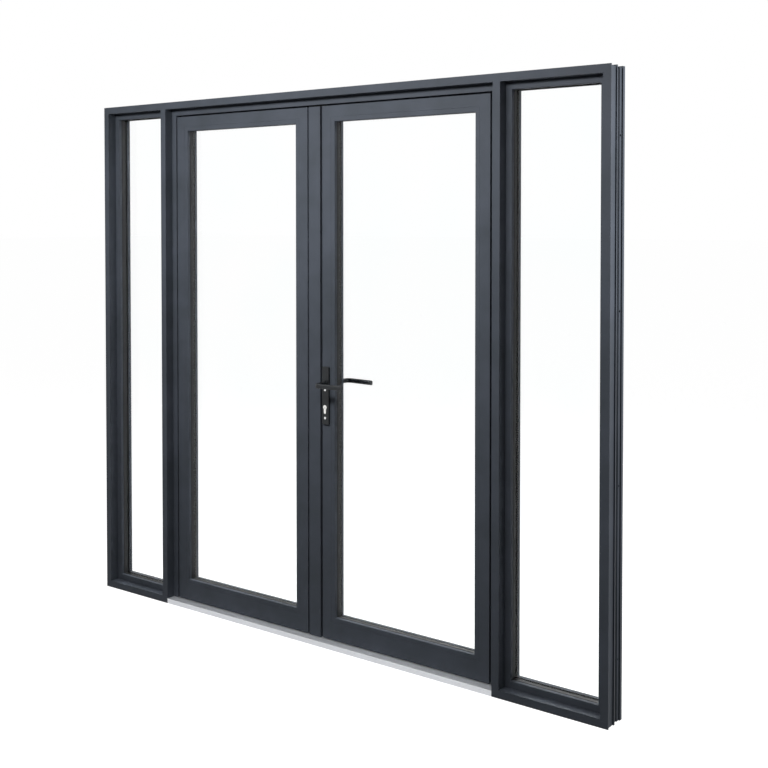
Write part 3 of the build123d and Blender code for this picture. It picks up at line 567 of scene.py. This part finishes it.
class NodeTool:
    """A geometry node tree with named inputs, which is applied to pieces and then removed."""

    def __init__(self, name: str, inputs: dict[str, tuple[str, Any]]) -> None:
        """Starts a tree.

        Args:
            name: The tree's name.
            inputs: Socket type and usual value of each input, by its name.
        """
        self.tree = bpy.data.node_groups.new(name, "GeometryNodeTree")
        self.tree.is_modifier = True
        face = self.tree.interface
        face.new_socket(name="Geometry", in_out="INPUT", socket_type="NodeSocketGeometry")
        self.identifiers: dict[str, str] = {}
        for label, (kind, usual) in inputs.items():
            socket = face.new_socket(name=label, in_out="INPUT", socket_type=kind)
            if usual is not None:
                socket.default_value = usual
            self.identifiers[label] = socket.identifier
        face.new_socket(name="Geometry", in_out="OUTPUT", socket_type="NodeSocketGeometry")
        self.entry = add_node(self.tree, "NodeGroupInput")

    def given(self, label: str) -> bpy.types.NodeSocket:
        """The socket of a named input."""
        return self.entry.outputs[label]

    def close(self, socket: bpy.types.NodeSocket) -> None:
        """Ends the tree: instances made real, the finish set, and the result put out.

        Args:
            socket: The instances.
        """
        real = add_node(self.tree, "GeometryNodeRealizeInstances", links={"Geometry": socket})
        dressed = add_node(self.tree, "GeometryNodeSetMaterial", links={
            "Geometry": real.outputs["Geometry"], "Material": self.given("Finish")})
        add_node(self.tree, "NodeGroupOutput", links={"Geometry": dressed.outputs["Geometry"]})

    def apply(self, piece: bpy.types.Object, values: dict[str, Any]) -> None:
        """Runs the tree on a piece and keeps the plain mesh that it makes.

        Args:
            piece: The piece whose mesh is worked on.
            values: The inputs, by name.
        """
        modifier = piece.modifiers.new(self.tree.name, "NODES")
        modifier.node_group = self.tree
        for label, value in values.items():
            modifier[self.identifiers[label]] = value
        bpy.context.view_layer.update()
        graph = bpy.context.evaluated_depsgraph_get()
        made = bpy.data.meshes.new_from_object(piece.evaluated_get(graph), depsgraph=graph)
        old = piece.data
        piece.modifiers.clear()
        piece.data = made
        piece.data.name = piece.name
        bpy.data.meshes.remove(old)


class ScrewRow(NodeTool):
    """Low bevelled screw heads with a hexagon socket, one on every point."""

    HEAD_SIDES = 24
    SOCKET_SIDES = 6
    TOP_PART = 0.8
    SOCKET_PART = 1.2

    def __init__(self) -> None:
        """Builds the tree."""
        super().__init__("ScrewRow", {
            "Head radius": ("NodeSocketFloat", 4.2 * MM),
            "Head rise": ("NodeSocketFloat", 0.8 * MM),
            "Socket radius": ("NodeSocketFloat", 2.0 * MM),
            "Turn": ("NodeSocketRotation", None),
            "Finish": ("NodeSocketMaterial", None),
        })
        tree = self.tree
        narrow = add_node(tree, "ShaderNodeMath", {"operation": "MULTIPLY", 1: self.TOP_PART},
                          {0: self.given("Head radius")})
        head = add_node(tree, "GeometryNodeMeshCone", {"Vertices": self.HEAD_SIDES}, {
            "Radius Bottom": self.given("Head radius"), "Radius Top": narrow.outputs["Value"],
            "Depth": self.given("Head rise")})
        # The socket's cutter is centred on the head's top, so half of it sinks into the head.
        deep = add_node(tree, "ShaderNodeMath", {"operation": "MULTIPLY", 1: self.SOCKET_PART},
                        {0: self.given("Head rise")})
        tool = add_node(tree, "GeometryNodeMeshCylinder", {"Vertices": self.SOCKET_SIDES}, {
            "Radius": self.given("Socket radius"), "Depth": deep.outputs["Value"]})
        lift = add_node(tree, "ShaderNodeCombineXYZ", links={"Z": self.given("Head rise")})
        raised = add_node(tree, "GeometryNodeTransform", links={
            "Geometry": tool.outputs["Mesh"], "Translation": lift.outputs["Vector"]})
        cut = add_node(tree, "GeometryNodeMeshBoolean", {"operation": "DIFFERENCE"}, {
            "Mesh 1": head.outputs["Mesh"], "Mesh 2": raised.outputs["Geometry"]})
        placed = add_node(tree, "GeometryNodeInstanceOnPoints", links={
            "Points": self.given("Geometry"), "Instance": cut.outputs["Mesh"],
            "Rotation": self.given("Turn")})
        self.close(placed.outputs["Instances"])


class RingRow(NodeTool):
    """Flat bearing rings, one lying round every point."""

    RING_SIDES = 48
    BORE_SIDES = 32
    BORE_PART = 3.0

    def __init__(self) -> None:
        """Builds the tree."""
        super().__init__("RingRow", {
            "Ring radius": ("NodeSocketFloat", 10.5 * MM),
            "Bore radius": ("NodeSocketFloat", 5.4 * MM),
            "Ring height": ("NodeSocketFloat", 0.42 * MM),
            "Finish": ("NodeSocketMaterial", None),
        })
        tree = self.tree
        disc = add_node(tree, "GeometryNodeMeshCylinder", {"Vertices": self.RING_SIDES}, {
            "Radius": self.given("Ring radius"), "Depth": self.given("Ring height")})
        # The bore's cutter is longer than the ring is high, so that it cuts right through.
        deep = add_node(tree, "ShaderNodeMath", {"operation": "MULTIPLY", 1: self.BORE_PART},
                        {0: self.given("Ring height")})
        bore = add_node(tree, "GeometryNodeMeshCylinder", {"Vertices": self.BORE_SIDES}, {
            "Radius": self.given("Bore radius"), "Depth": deep.outputs["Value"]})
        cut = add_node(tree, "GeometryNodeMeshBoolean", {"operation": "DIFFERENCE"}, {
            "Mesh 1": disc.outputs["Mesh"], "Mesh 2": bore.outputs["Mesh"]})
        placed = add_node(tree, "GeometryNodeInstanceOnPoints", links={
            "Points": self.given("Geometry"), "Instance": cut.outputs["Mesh"]})
        self.close(placed.outputs["Instances"])


class BristleRow(NodeTool):
    """A brush seal's bristles, hanging down from every point with a slight lean."""

    BRISTLE_SIDES = 5

    def __init__(self) -> None:
        """Builds the tree."""
        super().__init__("BristleRow", {
            "Bristle length": ("NodeSocketFloat", 3.4 * MM),
            "Bristle radius": ("NodeSocketFloat", 0.35 * MM),
            "Lean": ("NodeSocketFloat", 0.12),
            "Seed": ("NodeSocketInt", 7),
            "Finish": ("NodeSocketMaterial", None),
        })
        tree = self.tree
        hair = add_node(tree, "GeometryNodeMeshCone", {"Vertices": self.BRISTLE_SIDES}, {
            "Radius Bottom": self.given("Bristle radius"),
            "Radius Top": self.given("Bristle radius"), "Depth": self.given("Bristle length")})
        low = add_node(tree, "ShaderNodeMath", {"operation": "MULTIPLY", 1: -1.0},
                       {0: self.given("Lean")})
        least = add_node(tree, "ShaderNodeCombineXYZ", links={
            "X": low.outputs["Value"], "Y": low.outputs["Value"]})
        most = add_node(tree, "ShaderNodeCombineXYZ", links={
            "X": self.given("Lean"), "Y": self.given("Lean")})
        # Inputs 0 and 1 of a random vector are its least and most, and output 0 is the vector.
        lean = add_node(tree, "FunctionNodeRandomValue", {"data_type": "FLOAT_VECTOR"}, {
            0: least.outputs["Vector"], 1: most.outputs["Vector"], "Seed": self.given("Seed")})
        down = add_node(tree, "ShaderNodeCombineXYZ", {"X": math.pi})
        turn = add_node(tree, "ShaderNodeVectorMath", {"operation": "ADD"}, {
            0: lean.outputs[0], 1: down.outputs["Vector"]})
        placed = add_node(tree, "GeometryNodeInstanceOnPoints", links={
            "Points": self.given("Geometry"), "Instance": hair.outputs["Mesh"],
            "Rotation": turn.outputs["Vector"]})
        self.close(placed.outputs["Instances"])


# Sub-assemblies


@dataclass
class Hinges:
    """Screws and bearing rings of the six barrel hinges."""

    heights: tuple[float, ...] = (0.250, 1.050, 1.850)
    axis_x: float = 0.7785
    axis_y: float = 0.061
    wing_face_y: float = 0.055
    screw_offsets: Pair = (0.0185, 0.0305)
    screw_heights: tuple[float, ...] = (-0.048, -0.016, 0.016, 0.048)
    ring_rise: float = 0.02175

    def screw_points(self, side: int, inward: bool) -> list[Point]:
        """Places of the screws in the wings of one door edge, near and far by turns.

        Args:
            side: -1 for the passive leaf's edge and 1 for the active one.
            inward: Whether they are in the leaf's wings, not the frame's.

        Returns:
            Points on the wings' faces.
        """
        way = -side if inward else side
        points = []
        for height in self.heights:
            for k, rise in enumerate(self.screw_heights):
                reach = self.screw_offsets[k % 2]
                points.append((side * self.axis_x + way * reach, self.wing_face_y, height + rise))
        return points

    def ring_points(self) -> list[Point]:
        """Places of the rings between the knuckles, two for each hinge."""
        return [(side * self.axis_x, self.axis_y, height + way * self.ring_rise)
                for side in (-1, 1) for height in self.heights for way in (-1, 1)]

    def build(self, finishes: Finishes, screws: ScrewRow, rings: RingRow) -> None:
        """Makes the screws of every wing, one piece for each body, and the rings.

        Args:
            finishes: The made finishes.
            screws: The tree that makes screw heads.
            rings: The tree that makes rings.
        """
        steel = finishes.made[Slot.LOCK]
        rows = (
            ("hinge_screws_frame", Body.FRAME,
             self.screw_points(-1, False) + self.screw_points(1, False)),
            ("hinge_screws_passive", Body.PASSIVE_LEAF, self.screw_points(-1, True)),
            ("hinge_screws_active", Body.ACTIVE_LEAF, self.screw_points(1, True)),
        )
        for name, body, points in rows:
            piece = points_piece(name, points)
            screws.apply(piece, {"Turn": Facing.BACK.value, "Finish": steel})
            settle(piece, body)
        piece = points_piece("hinge_bearing_rings", self.ring_points())
        rings.apply(piece, {"Finish": steel})
        settle(piece, Body.FRAME)


@dataclass
class LockEdge:
    """Screws that hold the lock's faceplate and the strike plate."""

    screw_y: float = 0.034
    faceplate_x: float = 0.023
    faceplate_screws: Pair = (0.8585, 1.0515)
    strike_x: float = 0.014
    strike_screws: Pair = (0.909, 1.043)
    head_rise: float = 0.6 * MM
    head_radius: float = 3.6 * MM
    socket_radius: float = 1.6 * MM

    def build(self, finishes: Finishes, screws: ScrewRow) -> None:
        """Makes both pairs of screws.

        Args:
            finishes: The made finishes.
            screws: The tree that makes screw heads.
        """
        rows = (
            ("faceplate_screws", Body.ACTIVE_LEAF, self.faceplate_x, self.faceplate_screws,
             Facing.LEFT),
            ("strike_screws", Body.PASSIVE_LEAF, self.strike_x, self.strike_screws, Facing.RIGHT),
        )
        for name, body, x, heights, facing in rows:
            piece = points_piece(name, [(x, self.screw_y, z) for z in heights])
            screws.apply(piece, {"Turn": facing.value, "Head rise": self.head_rise,
                                 "Head radius": self.head_radius,
                                 "Socket radius": self.socket_radius,
                                 "Finish": finishes.made[Slot.BRIGHT]})
            settle(piece, body)


@dataclass
class BrushSeals:
    """Brush seals under both leaves: rows of bristles and a holder, in place of plain strips.

    A bristle is as long as it is from the holder to clear_z, just over the threshold.
    """

    front_y: float = 0.029
    back_y: float = 0.035
    top_z: float = 0.024
    clear_z: float = 0.0206
    holder: float = 0.9 * MM
    pitch: float = 1.3 * MM
    bristle_radius: float = 0.32 * MM
    rows: tuple[float, ...] = (0.0304, 0.032, 0.0336)

    def make_holder(self, leaf: Leaf, finishes: Finishes) -> None:
        """Makes the flat bar under one leaf's bottom rail.

        Args:
            leaf: The leaf.
            finishes: The made finishes.
        """
        work = bmesh.new()
        under = self.top_z - self.holder
        section = [(self.front_y, self.top_z), (self.back_y, self.top_z),
                   (self.back_y, under), (self.front_y, under)]
        ends = [[work.verts.new((x, y, z)) for y, z in section] for x in (leaf.left, leaf.right)]
        for k in range(len(section)):
            after = (k + 1) % len(section)
            work.faces.new((ends[0][k], ends[0][after], ends[1][after], ends[1][k]))
        for end in ends:
            work.faces.new(end)
        piece = mesh_piece(f"{leaf.name}_brush_holder", work, finishes.made[Slot.PLASTIC])
        settle(piece, leaf.body)

    def make_bristles(self, leaf: Leaf, finishes: Finishes, bristles: BristleRow) -> None:
        """Makes the bristles of one leaf, in staggered rows.

        Args:
            leaf: The leaf.
            finishes: The made finishes.
            bristles: The tree that makes bristles.
        """
        under = self.top_z - self.holder
        length = under - self.clear_z
        # Each bristle hangs from its point, which is half its length below the holder.
        hang = under - length / 2
        count = int((leaf.right - leaf.left - 2 * self.pitch) / self.pitch)
        points = [(leaf.left + (k + 1 + 0.5 * (i % 2)) * self.pitch, y, hang)
                  for i, y in enumerate(self.rows) for k in range(count)]
        piece = points_piece(f"{leaf.name}_brush_bristles", points)
        bristles.apply(piece, {"Bristle length": length, "Bristle radius": self.bristle_radius,
                               "Finish": finishes.made[Slot.RUBBER]})
        settle(piece, leaf.body)
        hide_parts(f"{leaf.name}_bottom_seal")

    def build(self, finishes: Finishes, bristles: BristleRow) -> None:
        """Makes the holder and the bristles of both leaves.

        Args:
            finishes: The made finishes.
            bristles: The tree that makes bristles.
        """
        for leaf in LEAVES:
            self.make_holder(leaf, finishes)
            self.make_bristles(leaf, finishes, bristles)


@dataclass
class GasketLips:
    """Rounded lips of the glazing gaskets, which lie on the glass along every bead."""

    bays: tuple[Span, ...] = ((-1.152, -0.822), (0.822, 1.196))
    bay_heights: Span = (0.028, 2.072)
    leaf_heights: Span = (0.091, 1.998)
    bay_sight: float = 0.024
    leaf_front_sight: float = 0.017
    leaf_rear_sight: float = 0.014
    front_glass_y: float = 0.004
    rear_glass_y: float = 0.032
    thickness: float = 2.9 * MM
    reach: float = 2.0 * MM
    steps: int = 5

    def section(self, sight: float, glass: float, way: int) -> list[Pair]:
        """The lip's outline: flat against the gasket and the glass, and round outside.

        Args:
            sight: Where the gasket's edge is, inwards from the rectangle.
            glass: The y of the glass face.
            way: -1 for the front and 1 for the back.

        Returns:
            Points of u and y.
        """
        points = [(sight, glass), (sight + self.reach, glass)]
        for k in range(1, self.steps + 1):
            turn = math.pi / 2 * k / self.steps
            points.append((sight + self.reach * math.cos(turn),
                           glass + way * self.thickness * math.sin(turn)))
        return points

    def lips(self, name: str, body: Body, rectangles: Sequence[Rectangle], sights: Pair,
             finishes: Finishes) -> None:
        """Makes the front and rear lips of some panes as one piece.

        Args:
            name: The piece's name.
            body: The body that carries it.
            rectangles: The edges that the panes' gaskets are measured from.
            sights: Where the front gasket's edge and the rear one's are, inwards from there.
            finishes: The made finishes.
        """
        front_sight, rear_sight = sights
        work = bmesh.new()
        for rectangle in rectangles:
            sweep_frame(work, self.section(front_sight, self.front_glass_y, -1), rectangle)
            sweep_frame(work, self.section(rear_sight, self.rear_glass_y, 1), rectangle)
        piece = mesh_piece(name, work, finishes.made[Slot.RUBBER])
        settle(piece, body)

    def build(self, finishes: Finishes) -> None:
        """Makes the lips of the sidelights and of both leaves.

        Args:
            finishes: The made finishes.
        """
        self.lips("sidelight_gasket_lips", Body.FRAME,
                  [(*bay, *self.bay_heights) for bay in self.bays],
                  (self.bay_sight, self.bay_sight), finishes)
        for leaf in LEAVES:
            self.lips(f"{leaf.name}_gasket_lips", leaf.body,
                      [(leaf.left, leaf.right, *self.leaf_heights)],
                      (self.leaf_front_sight, self.leaf_rear_sight), finishes)


# Stage


@dataclass(frozen=True)
class Lamp:
    """A soft rectangular area lamp that looks at a point. Its spread is in degrees."""

    name: str
    place: Point
    aim: Point
    size: Pair
    watts: float
    spread: float = 180.0

    def hang(self) -> None:
        """Adds the lamp to the scene, unseen by the camera."""
        data = bpy.data.lights.new(self.name, "AREA")
        data.shape = "RECTANGLE"
        data.size, data.size_y = self.size
        data.energy = self.watts
        data.spread = math.radians(self.spread)
        lamp = bpy.data.objects.new(self.name, data)
        lamp.location = self.place
        lamp.visible_camera = False
        look = Vector(self.aim) - Vector(self.place)
        lamp.rotation_euler = look.to_track_quat("-Z", "Y").to_euler()
        bpy.context.scene.collection.objects.link(lamp)


@dataclass
class Studio:
    """The floor, the world, the lamps and the camera, which was fitted to the photograph's edges.

    The lens's axis meets the image at its middle column and at the row axis_row_px.
    """

    focal_px: float = 1148.218
    image_px: float = 768.0
    axis_row_px: float = 250.0
    sensor_mm: float = 36.0
    far: float = 200.0
    yaw: float = math.radians(36.678)
    pitch: float = math.radians(-1.4645)
    eye: Point = (2.79926, -3.34971, 1.60926)
    white: str = "#ffffff"
    world_level: float = 0.13
    floor_half: float = 90.0
    floor_colour: str = "#9a9a9a"
    floor_glow: float = 0.95
    floor_bounce: str = "#3a3a3a"
    lamps: tuple[Lamp, ...] = (
        # Over the viewed face and close to it, so that the light falls off down the door.
        Lamp("key", (0.0, -1.6, 2.45), (0.0, 0.0, 1.4), (2.6, 0.3), 27.0, spread=120.0),
        # In line with the door and narrow: it lights the ribs of the right jamb's outer side
        # and leaves the reveals dark.
        Lamp("side", (2.6, 0.02, 1.9), (1.22, 0.04, 1.7), (0.1, 0.8), 38.0),
        # High behind the door, for the hinge side.
        Lamp("rear", (-0.5, 3.0, 3.4), (0.0, 0.0, 1.2), (2.6, 1.2), 60.0),
    )

    def camera(self) -> None:
        """Stands the camera where the photograph was taken from, and shifts its frame down."""
        data = bpy.data.cameras.new("camera")
        data.sensor_width = self.sensor_mm
        data.lens = self.focal_px / self.image_px * data.sensor_width
        data.shift_y = (self.axis_row_px - self.image_px / 2) / self.image_px
        data.clip_end = self.far
        camera = bpy.data.objects.new("camera", data)
        camera.location = self.eye
        camera.rotation_euler = Euler((math.pi / 2 + self.pitch, 0.0, self.yaw))
        bpy.context.scene.collection.objects.link(camera)
        bpy.context.scene.camera = camera

    def seen(self, tree: bpy.types.NodeTree) -> bpy.types.NodeSocket:
        """Gives a value that is 1 for the rays of the eye, of gloss and of glass.

        Args:
            tree: The tree of the world or a material.

        Returns:
            The value's socket.
        """
        path = add_node(tree, "ShaderNodeLightPath")
        direct = add_node(tree, "ShaderNodeMath", {"operation": "MAXIMUM"}, {
            0: path.outputs["Is Camera Ray"], 1: path.outputs["Is Transmission Ray"]})
        every = add_node(tree, "ShaderNodeMath", {"operation": "MAXIMUM"}, {
            0: direct.outputs["Value"], 1: path.outputs["Is Glossy Ray"]})
        return every.outputs["Value"]

    def world(self) -> None:
        """Makes a plain soft world, which the eye, gloss and glass see as white."""
        world = bpy.data.worlds.new("studio")
        world.use_nodes = True
        tree = world.node_tree
        tree.nodes.clear()
        plain = add_node(tree, "ShaderNodeBackground", {
            "Color": hex_to_linear(self.white), "Strength": self.world_level})
        white = add_node(tree, "ShaderNodeBackground", {
            "Color": hex_to_linear(self.white), "Strength": 1.0})
        mixed = add_node(tree, "ShaderNodeMixShader", links={
            0: self.seen(tree), 1: plain.outputs["Background"], 2: white.outputs["Background"]})
        add_node(tree, "ShaderNodeOutputWorld", links={"Surface": mixed.outputs["Shader"]})
        bpy.context.scene.world = world

    def floor(self) -> None:
        """Lays a pale floor that shades under the door and looks white round it."""
        work = bmesh.new()
        bmesh.ops.create_grid(work, x_segments=1, y_segments=1, size=self.floor_half)
        material = bpy.data.materials.new("PaleFloor")
        material.use_nodes = True
        tree = material.node_tree
        tree.nodes.clear()
        matt = add_node(tree, "ShaderNodeBsdfDiffuse", {"Color": hex_to_linear(self.floor_colour)})
        glow = add_node(tree, "ShaderNodeEmission", {
            "Color": hex_to_linear(self.white), "Strength": self.floor_glow})
        both = add_node(tree, "ShaderNodeAddShader", links={
            0: matt.outputs["BSDF"], 1: glow.outputs["Emission"]})
        dull = add_node(tree, "ShaderNodeBsdfDiffuse", {"Color": hex_to_linear(self.floor_bounce)})
        mixed = add_node(tree, "ShaderNodeMixShader", links={
            0: self.seen(tree), 1: dull.outputs["BSDF"], 2: both.outputs["Shader"]})
        add_node(tree, "ShaderNodeOutputMaterial", links={"Surface": mixed.outputs["Shader"]})
        mesh_piece("floor", work, material)

    def build(self) -> None:
        """Sets up the whole studio."""
        self.camera()
        self.world()
        self.floor()
        for lamp in self.lamps:
            lamp.hang()
        bpy.context.scene.view_settings.view_transform = "Standard"
        log.info("studio ready")


def main() -> None:
    """Builds the looks of the door in order."""
    Studio().build()
    finishes = Finishes()
    finishes.make()
    finishes.dress()
    screws = ScrewRow()
    Hinges().build(finishes, screws, RingRow())
    LockEdge().build(finishes, screws)
    BrushSeals().build(finishes, BristleRow())
    GasketLips().build(finishes)


if __name__ == "__main__":
    main()
